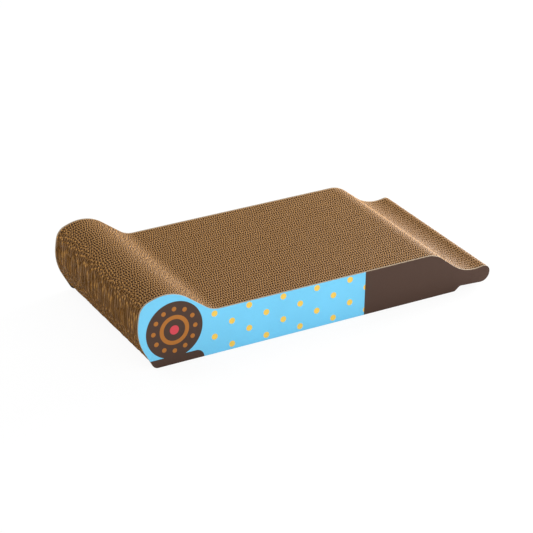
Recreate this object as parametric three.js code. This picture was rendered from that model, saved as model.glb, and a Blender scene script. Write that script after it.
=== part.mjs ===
// Cat scratcher lounge: die-cut corrugated boards standing on edge, glued side by side,
// with a printed panel on each side. The outline is a raised roll, a flat seat and a low tail.
// Millimetres, +Z up. The roll is at -X, the tail at +X and the front panel at -Y.
// The origin is under the middle of the block, on the floor.
import * as THREE from "three";

// Overall
const length = 520;
const width = 252;
const seatHeight = 61.9;

// Boards, panels and the film of glue between neighbours
const boardThickness = 5.9;
const glueLine = 0.1;
const panelThickness = 2;
const printThickness = 0.4;

// Foot of the roll: where the end face would meet the floor, measured from the roll's end
const footSetback = 21.5;
const endFaceAngle = 62;
const panelFootRadius = 8.7;
const coreFootRadius = 29;

// Roll, from its end face over the crest and down to the seat
const endFaceRadius = 71;
const shoulderAngle = 81;
const shoulderRadius = 20.3;
const shoulderRise = 18.3;
const crestHeight = 98.2;
const crestSetback = 37.3;
const crestRadius = 50.8;
const rollSlope = 36.8;
const seatRadius = 31.2;

// Ridge at the end of the seat and the dish behind it, measured from the tail tip
const ridgeSetback = 87.5;
const ridgeRadius = 37.4;
const ridgeSlope = 38.8;
const dishRadius = 54.3;

// Tail, which floats a little above the floor; its underside falls from the notch to the tip
const tailHeight = 30;
const tailRise = 12.5;
const tailTopRadius = 9.7;
const tailClearance = 3.6;
const tailUnderSlope = 3.4;
const tailUnderRadius = 13.4;
const notchSetback = 55.2;
const notchSlope = 36.8;
const notchRadius = 3.5;
const heelRadius = 4.6;

// Largest distance between an arc and the straight steps that stand for it
const arcTolerance = 0.17;

const endX = -length / 2;
const tipX = length / 2;

// A unit direction at an angle in degrees, anticlockwise from +X with Z up
function direction(degrees) {
  const angle = THREE.MathUtils.degToRad(degrees);
  return new THREE.Vector2(Math.cos(angle), Math.sin(angle));
}

// Where two lines meet, each given by a point and a direction
function meet(pointA, directionA, pointB, directionB) {
  const between = pointB.clone().sub(pointA);
  const along = between.cross(directionB) / directionA.cross(directionB);
  return pointA.clone().addScaledVector(directionA, along);
}

// The line that touches a circle on its upper or left side, running in the given direction
function tangentPoint(centre, radius, degrees) {
  return centre.clone().addScaledVector(direction(degrees + 90), radius);
}

// Sharp corners of the side outline, clockwise from the foot of the roll, each with its radius
function outlineCorners(footRadius) {
  const foot = new THREE.Vector2(endX + footSetback, 0);
  const endFace = direction(180 - endFaceAngle);
  const intoBlock = direction(90 - endFaceAngle);
  // The bulge of the end face reaches exactly to the end of the block
  const bulgeX = endX + endFaceRadius;
  const bulgeZ = (endFaceRadius - (bulgeX - foot.x) * intoBlock.x) / intoBlock.y;
  const bulge = new THREE.Vector2(bulgeX, bulgeZ);
  const shoulderLine = tangentPoint(bulge, endFaceRadius, shoulderAngle);

  const crest = new THREE.Vector2(endX + crestSetback, crestHeight - crestRadius);
  const riseLine = tangentPoint(crest, crestRadius, shoulderRise);
  const slopeLine = tangentPoint(crest, crestRadius, -rollSlope);

  const seat = new THREE.Vector2(0, seatHeight);
  const ridge = new THREE.Vector2(tipX - ridgeSetback, seatHeight);
  const tailTop = new THREE.Vector2(tipX, tailHeight);
  const heel = new THREE.Vector2(tipX - notchSetback, 0);
  const tailUnder = new THREE.Vector2(tipX, tailClearance);
  const level = direction(0);

  return [
    { point: foot, radius: footRadius },
    { point: meet(foot, endFace, shoulderLine, direction(shoulderAngle)), radius: endFaceRadius },
    {
      point: meet(shoulderLine, direction(shoulderAngle), riseLine, direction(shoulderRise)),
      radius: shoulderRadius,
    },
    {
      point: meet(riseLine, direction(shoulderRise), slopeLine, direction(-rollSlope)),
      radius: crestRadius,
    },
    { point: meet(slopeLine, direction(-rollSlope), seat, level), radius: seatRadius },
    { point: ridge, radius: ridgeRadius },
    { point: meet(ridge, direction(-ridgeSlope), tailTop, direction(tailRise)), radius: dishRadius },
    { point: tailTop, radius: tailTopRadius },
    { point: tailUnder, radius: tailUnderRadius },
    {
      point: meet(tailUnder, direction(-tailUnderSlope), heel, direction(notchSlope)),
      radius: notchRadius,
    },
    { point: heel, radius: heelRadius },
  ];
}

// Rounds each corner with an arc, made smaller only where two arcs would meet on an edge
function roundedOutline(corners) {
  const count = corners.length;
  const reaches = corners.map(({ point, radius }, i) => {
    const toBefore = corners.at(i - 1).point.clone().sub(point);
    const toAfter = corners[(i + 1) % count].point.clone().sub(point);
    const halfTurn = (Math.PI - toBefore.angleTo(toAfter)) / 2;
    return { toBefore, toAfter, halfTurn, reach: radius * Math.tan(halfTurn) };
  });
  const points = [];
  corners.forEach(({ point }, i) => {
    const { toBefore, toAfter, halfTurn, reach } = reaches[i];
    const roomBefore = toBefore.length() / (reach + reaches.at(i - 1).reach);
    const roomAfter = toAfter.length() / (reach + reaches[(i + 1) % count].reach);
    const kept = reach * Math.min(1, roomBefore, roomAfter);
    const radius = kept / Math.tan(halfTurn);
    const start = point.clone().addScaledVector(toBefore.normalize(), kept);
    const end = point.clone().addScaledVector(toAfter.normalize(), kept);
    const inwards = toBefore.clone().add(toAfter).normalize();
    const centre = point.clone().addScaledVector(inwards, radius / Math.cos(halfTurn));
    const startAngle = start.sub(centre).angle();
    const endAngle = end.sub(centre).angle();
    const clockwise = toBefore.cross(toAfter) > 0;
    const stepAngle = 2 * Math.acos(1 - arcTolerance / Math.max(radius, 2 * arcTolerance));
    const steps = Math.max(2, Math.ceil((2 * halfTurn) / stepAngle));
    const arc = new THREE.EllipseCurve(
      centre.x, centre.y, radius, radius, startAngle, endAngle, clockwise,
    );
    points.push(...arc.getPoints(steps));
  });
  return new THREE.Shape(points);
}

// A flat plate of an outline, standing on edge, with its front face at the given Y
function plate(name, outline, frontY, thickness, material) {
  const geometry = new THREE.ExtrudeGeometry(outline, { depth: thickness, bevelEnabled: false });
  geometry.rotateX(Math.PI / 2);
  const mesh = new THREE.Mesh(geometry, material);
  mesh.name = name;
  mesh.position.y = frontY + thickness;
  return mesh;
}

const kraft = new THREE.MeshStandardMaterial({ color: 0x9a7446, roughness: 0.95, metalness: 0 });
const linedBoard = new THREE.MeshStandardMaterial({ color: 0xcdb592, roughness: 0.9, metalness: 0 });
const printedPaper = new THREE.MeshStandardMaterial({ color: 0x76cffa, roughness: 0.6, metalness: 0 });

const coreOutline = roundedOutline(outlineCorners(coreFootRadius));
const panelOutline = roundedOutline(outlineCorners(panelFootRadius));

// As many boards as the width between the panels takes, pressed to fill it
const sideThickness = glueLine + panelThickness + glueLine + printThickness;
const coreWidth = width - 2 * sideThickness;
const layerCount = Math.round((coreWidth + glueLine) / (boardThickness + glueLine));
const layerPitch = (coreWidth + glueLine) / layerCount;
const layerThickness = layerPitch - glueLine;
const coreFrontY = -coreWidth / 2;

const group = new THREE.Group();

// Corrugated core, counted from the front
for (let i = 0; i < layerCount; i += 1) {
  const name = `core_layer_${String(i + 1).padStart(2, "0")}`;
  const frontY = coreFrontY + i * layerPitch;
  group.add(plate(name, coreOutline, frontY, layerThickness, kraft));
}

// Side panels, each a board against the core with its printed sheet outside
const frontBoardY = coreFrontY - glueLine - panelThickness;
const backBoardY = coreFrontY + coreWidth + glueLine;
const frontPrintY = frontBoardY - glueLine - printThickness;
const backPrintY = backBoardY + panelThickness + glueLine;
group.add(plate("front_panel_board", panelOutline, frontBoardY, panelThickness, linedBoard));
group.add(plate("front_print_sheet", panelOutline, frontPrintY, printThickness, printedPaper));
group.add(plate("back_panel_board", panelOutline, backBoardY, panelThickness, linedBoard));
group.add(plate("back_print_sheet", panelOutline, backPrintY, printThickness, printedPaper));

export default group;
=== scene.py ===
"""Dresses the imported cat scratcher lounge: fluted boards, lined side panels and their printed faces."""

import math
import random

import bmesh
import bpy
import numpy as np
from mathutils import Euler, Matrix, Vector


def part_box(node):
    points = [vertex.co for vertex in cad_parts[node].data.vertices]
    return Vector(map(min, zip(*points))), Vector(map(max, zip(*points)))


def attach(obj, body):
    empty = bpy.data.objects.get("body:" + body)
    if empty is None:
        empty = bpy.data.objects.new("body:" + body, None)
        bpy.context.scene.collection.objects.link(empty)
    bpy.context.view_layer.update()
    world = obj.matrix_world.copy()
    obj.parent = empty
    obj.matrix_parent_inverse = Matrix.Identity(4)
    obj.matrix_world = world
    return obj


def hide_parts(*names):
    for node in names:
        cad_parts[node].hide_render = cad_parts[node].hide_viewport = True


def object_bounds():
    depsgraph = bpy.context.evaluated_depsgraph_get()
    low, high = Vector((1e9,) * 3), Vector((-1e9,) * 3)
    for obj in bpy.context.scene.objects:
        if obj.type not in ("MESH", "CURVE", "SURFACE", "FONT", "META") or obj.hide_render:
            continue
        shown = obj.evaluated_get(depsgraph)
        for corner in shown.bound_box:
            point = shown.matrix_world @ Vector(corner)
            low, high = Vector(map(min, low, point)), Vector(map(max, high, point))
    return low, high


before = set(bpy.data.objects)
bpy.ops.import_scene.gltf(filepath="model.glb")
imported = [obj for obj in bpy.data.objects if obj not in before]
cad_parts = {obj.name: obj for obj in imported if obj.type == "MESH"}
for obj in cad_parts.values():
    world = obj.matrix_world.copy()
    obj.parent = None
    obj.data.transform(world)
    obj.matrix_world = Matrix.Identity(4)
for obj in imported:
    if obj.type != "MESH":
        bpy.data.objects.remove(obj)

bl_info = {
    "name": "Cat scratcher lounge",
    "version": (1, 0, 0),
    "blender": (4, 5, 0),
    "location": "View3D > Sidebar > Scratcher",
    "description": "Fluted boards, printed side panels and a white stage for a cat scratcher lounge",
    "category": "Object",
}

CAD_BOX = [list(corner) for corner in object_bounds()]
BODY = "root"
BOARD_NODES = sorted(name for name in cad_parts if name.startswith("core_layer_"))
SIDES = ("front", "back")

# Places along the length are measured from the end of the roll
ROLL_END = CAD_BOX[0][0]

# Packed points nearer than this are one, and faces that bend less than this are one plane
WELD = 1e-6
FLAT_BEND = math.radians(0.1)

# A packed point lower than this stands on the floor
ON_FLOOR = 1e-4

# Marks on a board's points: how much painted shade they take, mostly by depth below the cut, and how far
# the die has crushed them
PAINTED_SHADE = "inside"
CRUSHED = "crushed"

# A board is cut short by its whole trim up to the first place, and not at all past the second
END_FACE = (0.005, 0.035)

# Where a waved paper bends, as shares of the half wave that starts as it crosses between its liners
FLUTE_STEPS = (-0.1, 0.1, 0.25, 0.5, 0.75)

# Points along a board at which the phase of its waves is worked out
PHASE_POINTS = 4000

# Most that the pitch of a waved paper strays, as a share, and a slow sway of its phase in radians
PITCH_SCATTER = 0.003
SWAY, SWAY_LENGTH = 0.3, 0.13

# This close to a board's ends a waved paper also bends wherever the outline does
STEEP_ENDS = 0.014

# Share of the crushed width that a waved paper keeps where it lies against a liner
CRUSH_AT_LINER = 0.9

# Rings up a waved paper: share of the cut's depth, side, share of the crushed width, and how much painted
# shade the ring takes
CUT_RINGS = (
    (0.0, "bottom", 0.4, 0.0),
    (1.0, "bottom", 0.0, 1.0),
    (0.8, "top", 0.0, 1.0),
    (0.4, "top", 1.0, 0.1),
    (0.0, "top", 0.8, 0.0),
)

# Edges of a plate that turn more than this are rounded, and faces turned sideways this far are flat
RIM_TURN = math.radians(60)
SIDEWAYS = 0.99

# Shade of the darker plies in lined board
PLY_SHADE = 0.72

# Half the width over which one ink gives way to the next
INK_EDGE = 0.00012

# Ring, beads and centre of the roundel, as shares of its radius
RING_PLACE, RING_HALF_WIDTH = 0.45, 0.07
BEAD_PLACE, BEAD_RADIUS, BEAD_COUNT = 0.74, 0.08, 12
CENTRE_RADIUS = 0.16


def size(name, description, default):
    """A length property in metres."""
    return bpy.props.FloatProperty(
        name=name, description=description, default=default, unit="LENGTH", precision=5
    )


def share(name, description, default, least=0, most=1):
    """A property that is a share of something."""
    return bpy.props.FloatProperty(
        name=name, description=description, default=default, min=least, max=most, subtype="FACTOR"
    )


def colour(name, description, default):
    """A linear colour property."""
    return bpy.props.FloatVectorProperty(
        name=name, description=description, default=default, subtype="COLOR", size=3, min=0, max=1
    )


def point(name, description, default):
    """A place in metres."""
    return bpy.props.FloatVectorProperty(
        name=name, description=description, default=default, subtype="TRANSLATION", unit="LENGTH", size=3
    )


def angle(name, description, degrees):
    """An angle property, whose default is given in degrees."""
    return bpy.props.FloatProperty(
        name=name, description=description, default=math.radians(degrees), subtype="ANGLE"
    )


def watts(name, description, default):
    """The power of a lamp."""
    return bpy.props.FloatProperty(
        name=name, description=description, default=default, min=0, unit="POWER"
    )


class BoardSettings(bpy.types.PropertyGroup):
    """Sizes and tones of the fluted boards."""

    coarse_pitch: size("Coarse flutes", "Distance between flutes in the front wall of a board", 0.00745)
    fine_pitch: size("Fine flutes", "Distance between flutes in the back wall of a board", 0.00624)
    coarse_share: share(
        "Coarse share", "Share of a board's thickness that the coarse flutes take", 0.58,
        least=0.3, most=0.7,
    )
    paper: size("Paper", "Thickness of the liners and of the fluted papers", 0.00036)
    coarse_cut: size("Coarse cut", "Width of a coarse flute's edge where the die has crushed it", 0.001)
    fine_cut: size("Fine cut", "Width of a fine flute's edge where the die has crushed it", 0.0019)
    middle_cut: size("Middle cut", "Width of the middle liner's edge where it is crushed", 0.0006)
    cut_depth: size("Cut depth", "How far down the paper the pale crushed edge reaches", 0.0006)
    # Liner tone sets how far a liner's cut edge is darkened towards the colour of the paper in painted
    # shade
    liner_tone: share("Liner tone", "How dark the glue leaves the cut edge of a liner", 0.86)
    flank: bpy.props.FloatProperty(
        name="Flank", description="How steeply a waved paper crosses from liner to liner",
        default=3.0, min=0.5, max=5,
    )
    end_trim: size("End trim", "Most that a board is cut short at the roll's end face", 0.0012)
    # The end and tail reaches and shares set how the painted shade is drawn together at the roll's end
    # face and at the tail's tip
    end_reach: size("End reach", "How far behind the roll's end face tones are drawn together", 0.022)
    end_pale: share("End edges", "How dark the cut edges are on the roll's end face", 0.43)
    end_dark: share("End walls", "How dark the walls of the flutes are on the roll's end face", 0.85)
    tail_reach: size("Tail reach", "How far before the tail's tip tones are drawn together", 0.075)
    tail_pale: share("Tail edges", "How dark the cut edges are at the tail's tip", 0.58)
    tail_dark: share("Tail walls", "How dark the walls of the flutes are at the tail's tip", 0.85)
    fray: size("Fray", "Most that a fluted paper is cut short of its board", 0.00006)
    seed: bpy.props.IntProperty(
        name="Seed", description="Start of the scatter from board to board", default=7, min=0
    )
    # Kraft and dark kraft are the paper deep in the flutes with painted shade in it, much darker than the
    # paper at the cut
    kraft_in_shade: colour("Kraft", "Paper of the liners and flutes", (0.047, 0.014, 0.0019))
    kraft_dark_in_shade: colour("Dark kraft", "Darker fibres in the paper", (0.031, 0.009, 0.0012))
    cut_edge: colour("Cut edge", "Die-cut edge of the paper", (0.99, 0.512, 0.128))
    cut_dark: colour("Dark cut edge", "Gaps between the fibres of a cut edge", (0.87, 0.43, 0.101))
    cut_gloss: share("Cut gloss", "Pale gloss of a cut edge at a glancing view", 0.35)
    cut_roughness: share("Cut roughness", "How far the gloss of a cut edge spreads", 0.65)


class PrintSettings(bpy.types.PropertyGroup):
    """Sizes and inks of the printed side panels."""

    sky: colour("Sky blue", "Ground of the print", (0.175, 0.575, 0.835))
    dot_ink: colour("Dot yellow", "Polka dots", (0.87, 0.553, 0.093))
    bark: colour("Bark brown", "Rear of the print and the roundel", (0.0685, 0.0375, 0.0262))
    tan: colour("Tan", "Ring and beads of the roundel", (0.40, 0.145, 0.026))
    berry: colour("Berry red", "Centre of the roundel", (0.61, 0.06, 0.08))
    card: colour("Card", "Lined board and cut edge of the printed sheet", (0.38, 0.285, 0.19))
    # Near-black painted shade on the inner face of the side panels
    painted_shade_lining: colour("Lining", "Inner face of the side panels", (0.03, 0.017, 0.01))
    edge_round: size("Edge rounding", "Rounding that the die leaves on a panel's edges", 0.00015)
    dot_radius: size("Dot radius", "Radius of a polka dot", 0.0042)
    dot_columns: size("Dot columns", "Distance from one column of dots to the next", 0.02454)
    dot_rows: size("Dot rows", "Distance between two dots in a column", 0.0325)
    first_dot: size("First dot", "Place of the first column of dots along the length", 0.1053)
    first_row: size("First row", "Height of the lower dots in the first column", 0.0238)
    dots_from: size("Dots from", "Place along the length where the dots begin", 0.0936)
    seam: size("Seam", "Place along the length where the brown rear begins, at the floor", 0.3237)
    seam_lean: bpy.props.FloatProperty(
        name="Seam lean", description="How far the seam leans back for each metre up", default=0.022
    )
    roundel_place: size("Roundel place", "Middle of the roundel along the length", 0.0495)
    roundel_height: size("Roundel height", "Middle of the roundel above the floor", 0.0475)
    roundel_radius: size("Roundel radius", "Outer radius of the roundel", 0.039)
    foot_length: size("Foot band length", "Length of the brown band under the roundel", 0.079)
    foot_height: size("Foot band height", "Height of the brown band under the roundel", 0.0115)


class StageSettings(bpy.types.PropertyGroup):
    """Camera, floor and light."""

    camera_place: point("Camera place", "Where the camera stands", (-1.1882, -2.1299, 1.2287))
    camera_turn: angle("Camera turn", "How far the camera looks to the right of straight on", 28.92)
    camera_dip: angle("Camera dip", "How far the camera looks down", 26.16)
    camera_roll: angle("Camera roll", "How far the camera leans to its left", 0.14)
    lens: bpy.props.FloatProperty(
        name="Lens", description="Focal length on a 36 mm sensor", default=138.1,
        subtype="DISTANCE_CAMERA",
    )
    floor_reach: size("Floor reach", "Distance from the middle of the floor to its sides", 6)
    floor_white: share("Floor white", "Share of plain white over the shadow on the floor", 0.92)
    fill: bpy.props.FloatProperty(name="Fill", description="Light from all round", default=0.7, min=0)
    key: watts("Key lamp", "Power of the low lamp beyond the tail", 37)
    key_place: point("Key place", "Where the key lamp stands", (1.3, 0.4, 0.34))
    key_width: size("Key width", "Width of the key lamp", 0.7)
    front: watts("Front lamp", "Power of the lamp in front of the block", 11)
    front_place: point("Front place", "Where the front lamp stands", (0.7, -1.8, 0.6))
    front_width: size("Front width", "Width of the front lamp", 1.0)
    top: watts("Top lamp", "Power of the lamp high behind the roll", 7)
    top_place: point("Top place", "Where the top lamp stands", (-0.9, 0.5, 1.2))
    top_width: size("Top width", "Width of the top lamp", 1.0)


def plate_outline(node):
    """Side outline of a packed plate as (x, z) points in order."""
    bm = bmesh.new()
    bm.from_mesh(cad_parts[node].data)
    bmesh.ops.remove_doubles(bm, verts=bm.verts, dist=WELD)
    bmesh.ops.dissolve_limit(bm, angle_limit=FLAT_BEND, verts=bm.verts, edges=bm.edges)
    side = min(bm.faces, key=lambda face: face.normal.y * face.calc_area())
    points = [(vert.co.x, vert.co.z) for vert in side.verts]
    bm.free()
    return np.array(points)


def rounded(points, longest_step=0.011, cuts=4):
    """The outline with its short steps turned back into smooth bends; long edges stay straight."""
    ahead = np.roll(points, -1, axis=0) - points
    length = np.linalg.norm(ahead, axis=1)
    straight = length > longest_step
    heading = ahead / length[:, None]
    bend = heading / length[:, None]
    tangent = bend + np.roll(bend, 1, axis=0)
    tangent /= np.linalg.norm(tangent, axis=1)[:, None]
    tangent[straight] = heading[straight]
    follows = np.roll(straight, 1)
    tangent[follows] = np.roll(heading, 1, axis=0)[follows]
    made = []
    for i, start in enumerate(points):
        made.append(start)
        if straight[i]:
            continue
        end = points[(i + 1) % len(points)]
        leave = tangent[i] * length[i]
        arrive = tangent[(i + 1) % len(points)] * length[i]
        # A cubic that leaves one point and arrives at the next along their tangents
        for cut in range(1, cuts):
            t = cut / cuts
            made.append(
                (2 * t**3 - 3 * t**2 + 1) * start + (t**3 - 2 * t**2 + t) * leave
                + (3 * t**2 - 2 * t**3) * end + (t**3 - t**2) * arrive
            )
    return np.array(made)


def top_and_bottom(outline):
    """The outline's upper and lower edge as two lists of points, each from the roll to the tail."""
    first = int(np.argmin(outline[:, 0]))
    ring = np.roll(outline, -first, axis=0)
    last = int(np.argmax(ring[:, 0]))
    one = ring[: last + 1]
    other = np.vstack([ring[last:], ring[:1]])[::-1]
    return (one, other) if one[:, 1].mean() > other[:, 1].mean() else (other, one)


class Nodes:
    """Short words for building a material's node tree."""

    def __init__(self, name):
        self.material = bpy.data.materials.new(name)
        self.material.use_nodes = True
        self.tree = self.material.node_tree
        self.shader = self.tree.nodes["Principled BSDF"]

    def add(self, kind, **settings):
        """A new node with its settings."""
        node = self.tree.nodes.new(kind)
        for key, value in settings.items():
            setattr(node, key, value)
        return node

    def feed(self, socket, value):
        """Links an output to the socket, or sets the socket's value."""
        if isinstance(value, bpy.types.NodeSocket):
            self.tree.links.new(value, socket)
        elif value is not None:
            socket.default_value = value

    def place(self):
        """X, Y and Z of the point in the object's own frame."""
        coordinates = self.add("ShaderNodeTexCoord")
        split = self.add("ShaderNodeSeparateXYZ")
        self.feed(split.inputs[0], coordinates.outputs["Object"])
        return split.outputs["X"], split.outputs["Y"], split.outputs["Z"]

    def stretched(self, x=1.0, y=1.0, z=1.0):
        """Object coordinates, each multiplied by its own factor."""
        coordinates = self.add("ShaderNodeTexCoord")
        mapping = self.add("ShaderNodeMapping")
        mapping.inputs["Scale"].default_value = (x, y, z)
        self.feed(mapping.inputs["Vector"], coordinates.outputs["Object"])
        return mapping.outputs[0]

    def mark(self, name):
        """A number that the mesh holds at each of its points."""
        return self.add("ShaderNodeAttribute", attribute_name=name).outputs["Fac"]

    def math(self, operation, *values):
        """The result of a sum on sockets or numbers."""
        node = self.add("ShaderNodeMath", operation=operation)
        for socket, value in zip(node.inputs, values):
            self.feed(socket, value)
        return node.outputs[0]

    def weighed(self, first, *others):
        """The sum of some values, each given with its weight."""
        total = self.math("MULTIPLY", *first)
        for other in others:
            total = self.math("ADD", total, self.math("MULTIPLY", *other))
        return total

    def noise(self, vector, scale, detail=2.0, rough=0.5):
        """A cloudy pattern from 0 to 1."""
        node = self.add("ShaderNodeTexNoise")
        self.feed(node.inputs["Vector"], vector)
        self.feed(node.inputs["Scale"], scale)
        self.feed(node.inputs["Detail"], detail)
        self.feed(node.inputs["Roughness"], rough)
        return node.outputs["Fac"]

    def spread(self, value, low, high, to_low=0.0, to_high=1.0):
        """Maps low..high to to_low..to_high, held at both ends."""
        node = self.add("ShaderNodeMapRange")
        for socket, number in zip(node.inputs, (value, low, high, to_low, to_high)):
            self.feed(socket, number)
        return node.outputs[0]

    def blend(self, factor, first, second):
        """The first colour where the factor is 0, and the second where it is 1."""
        node = self.add("ShaderNodeMix", data_type="RGBA")
        self.feed(node.inputs[0], factor)
        for socket, value in zip((node.inputs[6], node.inputs[7]), (first, second)):
            self.feed(socket, value if isinstance(value, bpy.types.NodeSocket) else (*value, 1.0))
        return node.outputs[2]

    def surface(self, base, roughness, gloss=None):
        """Sets the surface's base colour, its roughness and its gloss."""
        self.feed(self.shader.inputs["Base Color"], base)
        self.feed(self.shader.inputs["Roughness"], roughness)
        self.feed(self.shader.inputs["Specular IOR Level"], gloss)

    def bump(self, height, distance, strength):
        """Fine relief of the surface."""
        node = self.add("ShaderNodeBump")
        node.inputs["Strength"].default_value = strength
        node.inputs["Distance"].default_value = distance
        self.feed(node.inputs["Height"], height)
        self.feed(self.shader.inputs["Normal"], node.outputs[0])


def kraft_paper(settings, pitch):
    """Kraft paper, pale where the die crushed the cut and with painted shade deeper in, with upright
    fibres and a tone for each board.
    """
    n = Nodes("kraft_paper")
    y = n.place()[1]
    board = n.add("ShaderNodeTexWhiteNoise", noise_dimensions="1D")
    n.feed(board.inputs["W"], n.math("FLOOR", n.math("DIVIDE", y, pitch)))
    fibres = n.noise(n.stretched(z=0.12), scale=1800, detail=3.0, rough=0.6)
    clouds = n.noise(n.stretched(z=0.5), scale=60, detail=3.0)
    tone = n.weighed((fibres, 0.5), (clouds, 0.35), (board.outputs["Value"], 0.15))
    painted_deep_shade = n.blend(n.spread(tone, 0.35, 0.68), settings.kraft_dark_in_shade, settings.kraft_in_shade)
    pale = n.blend(n.spread(fibres, 0.35, 0.65), settings.cut_dark, settings.cut_edge)
    # Painted shade: the pale cut colour gives way to the dark shaded colour as the points' mark grows
    paper = n.blend(n.mark(PAINTED_SHADE), pale, painted_deep_shade)
    n.surface(paper, n.spread(fibres, 0.3, 0.7, 0.82, 0.95), gloss=0.1)
    n.bump(fibres, distance=0.00008, strength=0.5)
    return n.material


def cut_paper_edge(settings):
    """Edge of die-cut paper: pale broken fibres with darker gaps."""
    n = Nodes("cut_paper_edge")
    fuzz = n.noise(n.stretched(), scale=1400, detail=3.0, rough=0.65)
    patches = n.noise(n.stretched(), scale=90)
    tone = n.weighed((fuzz, 0.65), (patches, 0.35))
    pale = n.blend(n.spread(tone, 0.36, 0.62), settings.cut_dark, settings.cut_edge)
    # Painted shade: the edge darkens towards the shaded kraft colour as far as its points are marked
    paper = n.blend(n.mark(PAINTED_SHADE), pale, settings.kraft_in_shade)
    n.surface(paper, settings.cut_roughness, settings.cut_gloss)
    n.bump(fuzz, distance=0.0001, strength=0.3)
    return n.material


def lined_card(name, pale):
    """Lined board in a colour, with fine plies along its cut edge."""
    n = Nodes(name)
    plies = n.noise(n.stretched(0.15, 6.0, 0.15), scale=900)
    specks = n.noise(n.stretched(), scale=700, detail=3.0, rough=0.6)
    tone = n.weighed((plies, 0.6), (specks, 0.4))
    darker = [PLY_SHADE * part for part in pale]
    n.surface(n.blend(n.spread(tone, 0.35, 0.6), darker, pale), roughness=0.9)
    n.bump(tone, distance=0.0001, strength=0.4)
    return n.material


def printed_paper(settings):
    """Printed sheet: blue ground with staggered dots, a brown rear, and a beaded roundel on the roll."""
    n = Nodes("printed_paper")
    x, _, z = n.place()
    x = n.math("SUBTRACT", x, ROLL_END)

    def inside(distance, edge):
        """1 where the distance is under the edge."""
        return n.spread(distance, edge - INK_EDGE, edge + INK_EDGE, 1.0, 0.0)

    def reach(dx, dz):
        """How far a point lies from the middle of a shape."""
        return n.math("SQRT", n.math("ADD", n.math("MULTIPLY", dx, dx), n.math("MULTIPLY", dz, dz)))

    def dots(column, row):
        """Distance to the nearest dot of one square set."""
        half_row = settings.dot_rows / 2
        dx = n.math("WRAP", n.math("SUBTRACT", x, column), settings.dot_columns, -settings.dot_columns)
        dz = n.math("WRAP", n.math("SUBTRACT", z, row), half_row, -half_row)
        return reach(dx, dz)

    # Two square sets of dots, one between the other
    nearest = n.math(
        "MINIMUM",
        dots(settings.first_dot, settings.first_row),
        dots(settings.first_dot + settings.dot_columns, settings.first_row + settings.dot_rows / 2),
    )
    past_roll = n.math("GREATER_THAN", x, settings.dots_from)
    dotted = n.math("MULTIPLY", inside(nearest, settings.dot_radius), past_roll)
    ink = n.blend(dotted, settings.sky, settings.dot_ink)

    # Brown band along the foot of the roll, with a round end
    past_band = n.math("MAXIMUM", n.math("SUBTRACT", x, settings.foot_length), 0.0)
    ink = n.blend(inside(reach(past_band, z), settings.foot_height), ink, settings.bark)

    # Roundel with a ring, a circle of beads and a small centre
    full = settings.roundel_radius
    across = n.math("SUBTRACT", x, settings.roundel_place)
    up = n.math("SUBTRACT", z, settings.roundel_height)
    radius = reach(across, up)
    ink = n.blend(inside(radius, full), ink, settings.bark)
    ring = n.math("ABSOLUTE", n.math("SUBTRACT", radius, RING_PLACE * full))
    ink = n.blend(inside(ring, RING_HALF_WIDTH * full), ink, settings.tan)
    half_step = math.pi / BEAD_COUNT
    turned = n.math("WRAP", n.math("ARCTAN2", up, across), half_step, -half_step)
    outwards = n.math("MULTIPLY", radius, n.math("COSINE", turned))
    sideways = n.math("MULTIPLY", radius, n.math("SINE", turned))
    bead = reach(n.math("SUBTRACT", outwards, BEAD_PLACE * full), sideways)
    ink = n.blend(inside(bead, BEAD_RADIUS * full), ink, settings.tan)
    ink = n.blend(inside(radius, CENTRE_RADIUS * full), ink, settings.berry)

    # Plain brown rear behind a leaning seam
    past_seam = n.math("SUBTRACT", x, n.math("MULTIPLY_ADD", z, settings.seam_lean, settings.seam))
    ink = n.blend(n.spread(past_seam, -INK_EDGE, INK_EDGE), ink, settings.bark)

    # Paper tooth shows faintly through the ink
    tooth = n.noise(n.stretched(), scale=900, detail=3.0, rough=0.6)
    clouds = n.noise(n.stretched(), scale=25)
    worn = n.add("ShaderNodeHueSaturation")
    n.feed(worn.inputs["Color"], ink)
    n.feed(worn.inputs["Value"], n.spread(n.math("ADD", tooth, clouds), 0.7, 1.3, 0.97, 1.03))
    n.surface(worn.outputs[0], n.spread(tooth, 0.3, 0.7, 0.5, 0.62), gloss=0.15)
    n.bump(tooth, distance=0.00003, strength=0.4)
    return n.material


def add_piece(name, bm, materials):
    """Links a finished bmesh as a named object at the origin."""
    mesh = bpy.data.meshes.new(name)
    bm.to_mesh(mesh)
    bm.free()
    for material in materials:
        mesh.materials.append(material)
    piece = bpy.data.objects.new(name, mesh)
    bpy.context.scene.collection.objects.link(piece)
    return piece


def stand_for(piece, node):
    """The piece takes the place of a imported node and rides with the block."""
    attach(piece, BODY)
    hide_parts(node)


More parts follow.
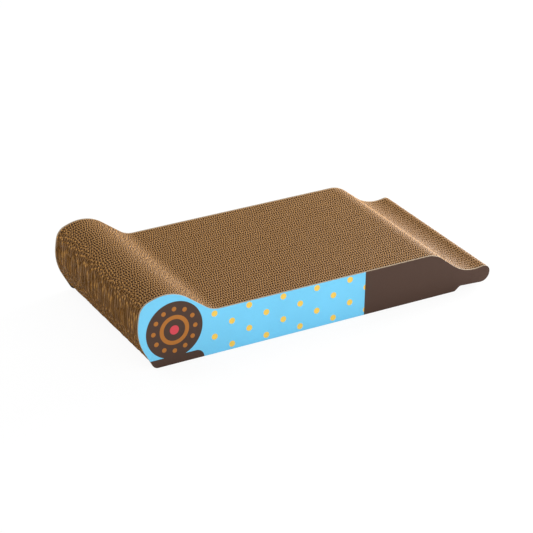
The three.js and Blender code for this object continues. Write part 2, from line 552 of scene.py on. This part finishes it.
class SCRATCHER_OT_boards(bpy.types.Operator):
    """Make the double-wall boards: three liners with a coarse and a fine waved paper between them"""

    bl_idname = "scratcher.boards"
    bl_label = "Fluted boards"

    def execute(self, context):
        settings = context.scene.scratcher_boards
        lows = [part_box(node)[0].y for node in BOARD_NODES]
        pitch = (lows[-1] - lows[0]) / (len(lows) - 1)
        papers = [kraft_paper(settings, pitch), cut_paper_edge(settings)]
        outline = rounded(plate_outline(BOARD_NODES[0]))
        scatter = random.Random(settings.seed)
        for node in BOARD_NODES:
            self.make_board(node, outline, settings, scatter, papers)
        return {"FINISHED"}

    def make_board(self, node, outline, settings, scatter, papers):
        """One board of thin sheets; a modifier gives them the paper's thickness and crushed edges."""
        low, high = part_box(node)
        cut = outline.copy()
        trimmed = np.interp(cut[:, 0] - low.x, END_FACE, (1, 0))
        cut[:, 0] += scatter.uniform(0, settings.end_trim) * trimmed
        half_paper = settings.paper / 2
        front, back = low.y + half_paper, high.y - half_paper
        between = front + settings.coarse_share * (back - front)

        bm = bmesh.new()
        bm.verts.layers.float.new(PAINTED_SHADE)
        bm.verts.layers.deform.verify()
        widest = max(settings.coarse_cut, settings.fine_cut, settings.middle_cut)
        liners = ((front, settings.paper), (between, settings.middle_cut), (back, settings.paper))
        for liner_y, width in liners:
            crush = (width - settings.paper) / (widest - settings.paper)
            self.add_liner(bm, cut, liner_y, crush, settings)
        for walls, pitch, width in (
            ((front, between), settings.coarse_pitch, settings.coarse_cut),
            ((between, back), settings.fine_pitch, settings.fine_cut),
        ):
            crush = (width - settings.paper) / (widest - settings.paper)
            self.add_flutes(bm, cut, walls, pitch, crush, settings, scatter)

        piece = add_piece(node.replace("core_layer", "fluted_board"), bm, papers)
        piece.vertex_groups.new(name=CRUSHED)
        thick = piece.modifiers.new("paper", "SOLIDIFY")
        thick.thickness = widest
        thick.vertex_group = CRUSHED
        thick.thickness_vertex_group = settings.paper / widest
        thick.offset = 0
        thick.material_offset_rim = 1
        stand_for(piece, node)

    def evened(self, tones, x, z, cut, settings):
        """The painted shade, drawn together towards the roll's leaning end face and towards the tail's
        tip: pale edges take some and shaded walls lose some.
        """
        bulge = cut[np.argmin(cut[:, 0])]
        foot = cut[np.argmin(cut[:, 1])]
        lean = (foot[0] - bulge[0]) / (bulge[1] - foot[1])
        behind = x - bulge[0] - lean * np.maximum(0, bulge[1] - z)
        end = np.clip(1 - behind / settings.end_reach, 0, 1)
        tail = np.sqrt(np.clip(1 - (cut[:, 0].max() - x) / settings.tail_reach, 0, 1))
        pale = end * settings.end_pale + tail * settings.tail_pale
        dark = 1 - end * (1 - settings.end_dark) - tail * (1 - settings.tail_dark)
        return pale + (dark - pale) * tones

    def add_liner(self, bm, cut, liner_y, crush, settings):
        """A flat paper of the outline, paler along its cut."""
        # The inside layer holds each point's painted shade; a liner's cut edge is held a little short of
        # the full shade of its inner part
        inside = bm.verts.layers.float[PAINTED_SHADE]
        crushed = bm.verts.layers.deform.active
        rim = [bm.verts.new((x, liner_y, z)) for x, z in cut]
        for vert in rim:
            vert[crushed][0] = crush
            vert[inside] = self.evened(settings.liner_tone, vert.co.x, vert.co.z, cut, settings)
        liner = bm.faces.new(rim)
        liner.normal_update()
        bmesh.ops.inset_individual(
            bm, faces=[liner], thickness=settings.cut_depth, use_even_offset=True
        )
        for vert in liner.verts:
            vert[crushed][0] = 0
            vert[inside] = self.evened(1, vert.co.x, vert.co.z, cut, settings)

    def add_flutes(self, bm, cut, walls, pitch, crush, settings, scatter):
        """A waved paper between two liners, drawn along the length and raised to the outline's top."""
        front, back = walls
        top, bottom = top_and_bottom(cut)
        middle = (front + back) / 2
        swing = (back - front) / 2 - settings.paper
        ends = cut[:, 0].min(), cut[:, 0].max()
        along = np.linspace(*ends, PHASE_POINTS)
        turns = math.tau / (pitch * scatter.uniform(1 - PITCH_SCATTER, 1 + PITCH_SCATTER))
        sway = SWAY * np.sin(math.tau * along / SWAY_LENGTH + scatter.uniform(0, math.tau))
        phase = turns * along + scatter.uniform(0, math.tau) + sway
        halves = np.arange(phase[0] // math.pi, phase[-1] // math.pi + 1)
        wanted = math.pi * np.add.outer(halves, FLUTE_STEPS).ravel()
        columns = np.interp(wanted, phase, along)
        near_ends = [x for x in cut[:, 0] if min(x - ends[0], ends[1] - x) < STEEP_ENDS]
        columns = np.unique(np.concatenate([columns, near_ends]))

        low = np.interp(columns, bottom[:, 0], bottom[:, 1])
        high = np.interp(columns, top[:, 0], top[:, 1])
        high -= [scatter.uniform(0, settings.fray) for _ in columns]
        tall = high - low > 2 * settings.cut_depth
        columns, low, high = columns[tall], low[tall], high[tall]
        reach = np.minimum(columns - ends[0], ends[1] - columns)
        wave = settings.flank * np.sin(np.interp(columns, along, phase))
        across = np.tanh(wave) / math.tanh(settings.flank)
        free = 1 - across**2

        # The inside layer holds each point's painted shade
        inside = bm.verts.layers.float[PAINTED_SHADE]
        crushed = bm.verts.layers.deform.active
        ring = [bm.verts.new(place) for place in zip(columns, middle + swing * across, low)]
        for from_cut, side, width, tone in CUT_RINGS:
            if ring[0].link_edges:
                edges = [bm.edges.get(pair) for pair in zip(ring, ring[1:])]
                raised = bmesh.ops.extrude_edge_only(bm, edges=edges)["geom"]
                ring = [item for item in raised if isinstance(item, bmesh.types.BMVert)]
                ring.sort(key=lambda vert: vert.co.x)
            else:
                for pair in zip(ring, ring[1:]):
                    bm.edges.new(pair)
            depth = np.minimum(from_cut * settings.cut_depth, (high - low) / 2)
            heights = high - depth if side == "top" else low + depth
            # Painted shade: full in the crease where the waved paper meets a liner, and less within a
            # cut's depth of the board's ends
            tones = np.maximum(np.minimum(tone, reach / settings.cut_depth), 1 - free)
            tones = self.evened(tones, columns, heights, cut, settings)
            kept = CRUSH_AT_LINER + (1 - CRUSH_AT_LINER) * free
            for vert, height, value, part in zip(ring, heights, tones, kept):
                vert.co.z = height
                vert[inside] = value
                vert[crushed][0] = crush * width * part


def standing_plate(name, node, rounding, materials):
    """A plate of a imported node's outline with smooth bends; materials are face, cut edge and back."""
    low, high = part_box(node)
    bm = bmesh.new()
    face = bm.faces.new([bm.verts.new((x, low.y, z)) for x, z in rounded(plate_outline(node))])
    grown = bmesh.ops.extrude_face_region(bm, geom=[face])["geom"]
    lifted = [item for item in grown if isinstance(item, bmesh.types.BMVert)]
    bmesh.ops.translate(bm, verts=lifted, vec=(0, high.y - low.y, 0))
    bmesh.ops.recalc_face_normals(bm, faces=bm.faces)
    rims = [edge for edge in bm.edges if edge.calc_face_angle() > RIM_TURN]
    bmesh.ops.bevel(
        bm, geom=rims, offset=rounding, offset_type="OFFSET", affect="EDGES",
        segments=2, profile=0.5, material=-1, clamp_overlap=True,
    )
    for made in bm.faces:
        facing = made.normal.y * math.copysign(1, low.y)
        made.material_index = 0 if facing > SIDEWAYS else 2 if facing < -SIDEWAYS else 1
    return add_piece(name, bm, materials)


class SCRATCHER_OT_panels(bpy.types.Operator):
    """Make the pale lined board on each side of the block"""

    bl_idname = "scratcher.panels"
    bl_label = "Panel boards"

    def execute(self, context):
        settings = context.scene.scratcher_print
        card = lined_card("lined_card", settings.card)
        # The panels' inner faces get near-black painted shade, their outer faces and cut edges the pale
        # card
        painted_shade_lining = lined_card("panel_painted_shade", settings.painted_shade_lining)
        papers = [card, card, painted_shade_lining]
        for side in SIDES:
            node = side + "_panel_board"
            piece = standing_plate(side + "_lined_board", node, settings.edge_round, papers)
            stand_for(piece, node)
        return {"FINISHED"}


class SCRATCHER_OT_prints(bpy.types.Operator):
    """Make the printed sheet on the outside of each panel"""

    bl_idname = "scratcher.prints"
    bl_label = "Printed sheets"

    def execute(self, context):
        settings = context.scene.scratcher_print
        card = lined_card("sheet_card", settings.card)
        papers = [printed_paper(settings), card, card]
        for side in SIDES:
            node = side + "_print_sheet"
            piece = standing_plate(side + "_printed_face", node, settings.edge_round, papers)
            stand_for(piece, node)
        return {"FINISHED"}


def white_for_camera(tree, plain):
    """Camera, glossy and transmission rays see plain white; other rays see the given shader."""
    path = tree.nodes.new("ShaderNodeLightPath")
    seen = path.outputs["Is Camera Ray"]
    for name in ("Is Glossy Ray", "Is Transmission Ray"):
        either = tree.nodes.new("ShaderNodeMath")
        either.operation = "MAXIMUM"
        tree.links.new(seen, either.inputs[0])
        tree.links.new(path.outputs[name], either.inputs[1])
        seen = either.outputs[0]
    white = tree.nodes.new("ShaderNodeBackground")
    white.inputs["Color"].default_value = (1, 1, 1, 1)
    mix = tree.nodes.new("ShaderNodeMixShader")
    tree.links.new(seen, mix.inputs[0])
    tree.links.new(plain, mix.inputs[1])
    tree.links.new(white.outputs[0], mix.inputs[2])
    return mix.outputs[0]


class SCRATCHER_OT_stage(bpy.types.Operator):
    """Make the white floor, the soft light and the camera"""

    bl_idname = "scratcher.stage"
    bl_label = "Stage"

    def execute(self, context):
        settings = context.scene.scratcher_stage
        scene = context.scene
        scene.view_settings.view_transform = "Standard"
        self.make_floor(settings)
        self.make_world(scene, settings)
        self.make_lamp(scene, "key_lamp", settings.key, settings.key_place, settings.key_width)
        self.make_lamp(scene, "front_lamp", settings.front, settings.front_place, settings.front_width)
        self.make_lamp(scene, "top_lamp", settings.top, settings.top_place, settings.top_width)
        self.make_camera(scene, settings)
        return {"FINISHED"}

    def make_floor(self, settings):
        """A white floor that keeps a faint shadow."""
        bm = bmesh.new()
        bmesh.ops.create_grid(bm, x_segments=1, y_segments=1, size=settings.floor_reach)
        n = Nodes("white_floor")
        n.surface((1, 1, 1, 1), roughness=1, gloss=0)
        white = n.add("ShaderNodeEmission")
        path = n.add("ShaderNodeLightPath")
        seen = n.math("MULTIPLY", path.outputs["Is Camera Ray"], settings.floor_white)
        seen = n.math("MULTIPLY", seen, n.math("SUBTRACT", 1.0, self.under_boards(n)))
        mix = n.add("ShaderNodeMixShader")
        n.feed(mix.inputs[0], seen)
        n.feed(mix.inputs[1], n.shader.outputs[0])
        n.feed(mix.inputs[2], white.outputs[0])
        n.feed(n.tree.nodes["Material Output"].inputs["Surface"], mix.outputs[0])
        floor = add_piece("floor", bm, [n.material])

    def under_boards(self, n):
        """1 on the floor that the boards stand on, which the open flutes keep dark."""
        x, y, _ = n.place()
        stands = [along for along, height in plate_outline(BOARD_NODES[0]) if height < ON_FLOOR]
        start, end = min(stands), max(stands)
        front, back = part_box(BOARD_NODES[0])[0].y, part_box(BOARD_NODES[-1])[1].y
        lengthways = n.math("COMPARE", x, (start + end) / 2, (end - start) / 2)
        crossways = n.math("COMPARE", y, (front + back) / 2, (back - front) / 2)
        return n.math("MULTIPLY", lengthways, crossways)

    def make_world(self, scene, settings):
        """A white room that lights the block from all round."""
        world = bpy.data.worlds.new("soft_room")
        world.use_nodes = True
        tree = world.node_tree
        room = tree.nodes["Background"]
        room.inputs["Color"].default_value = (1, 1, 1, 1)
        room.inputs["Strength"].default_value = settings.fill
        shown = white_for_camera(tree, room.outputs[0])
        tree.links.new(shown, tree.nodes["World Output"].inputs[0])
        scene.world = world

    def make_lamp(self, scene, name, power, place, width):
        """A square soft lamp that faces the middle of the block."""
        lamp = bpy.data.lights.new(name, "AREA")
        lamp.shape = "SQUARE"
        lamp.size = width
        lamp.energy = power
        holder = bpy.data.objects.new(name, lamp)
        holder.location = place
        holder.rotation_euler = Vector(place).to_track_quat("Z", "Y").to_euler()
        scene.collection.objects.link(holder)

    def make_camera(self, scene, settings):
        """The camera, turned, dipped and leaned as set."""
        lens = bpy.data.cameras.new("camera")
        lens.lens = settings.lens
        camera = bpy.data.objects.new("camera", lens)
        camera.location = settings.camera_place
        aim = Euler((math.pi / 2 - settings.camera_dip, 0, -settings.camera_turn)).to_matrix()
        lean = Matrix.Rotation(settings.camera_roll, 3, "Z")
        camera.rotation_euler = (aim @ lean).to_euler()
        scene.collection.objects.link(camera)
        scene.camera = camera


class SCRATCHER_PT_sidebar(bpy.types.Panel):
    """Settings and steps of the scratcher"""

    bl_idname = "SCRATCHER_PT_sidebar"
    bl_label = "Cat scratcher lounge"
    bl_space_type = "VIEW_3D"
    bl_region_type = "UI"
    bl_category = "Scratcher"

    def draw(self, context):
        for step, group in STEPS:
            column = self.layout.column(align=True)
            column.operator(step.bl_idname)
            if group:
                settings = getattr(context.scene, group)
                for name in settings.bl_rna.properties.keys():
                    if name not in ("rna_type", "name"):
                        column.prop(settings, name)


SETTINGS = {
    "scratcher_boards": BoardSettings,
    "scratcher_print": PrintSettings,
    "scratcher_stage": StageSettings,
}

# Each step with the settings that the sidebar lists under it; the panels share those of the prints
STEPS = (
    (SCRATCHER_OT_boards, "scratcher_boards"),
    (SCRATCHER_OT_panels, None),
    (SCRATCHER_OT_prints, "scratcher_print"),
    (SCRATCHER_OT_stage, "scratcher_stage"),
)
CLASSES = (*SETTINGS.values(), *(step for step, _ in STEPS), SCRATCHER_PT_sidebar)


def register():
    """Adds the classes, and their settings to the scene."""
    for made in CLASSES:
        bpy.utils.register_class(made)
    for name, group in SETTINGS.items():
        setattr(bpy.types.Scene, name, bpy.props.PointerProperty(type=group))


def unregister():
    """Takes the settings and the classes away again."""
    for name in SETTINGS:
        delattr(bpy.types.Scene, name)
    for made in reversed(CLASSES):
        bpy.utils.unregister_class(made)


def main():
    """Makes every piece and the stage."""
    register()
    bpy.ops.scratcher.boards()
    bpy.ops.scratcher.panels()
    bpy.ops.scratcher.prints()
    bpy.ops.scratcher.stage()


if __name__ == "__main__":
    main()
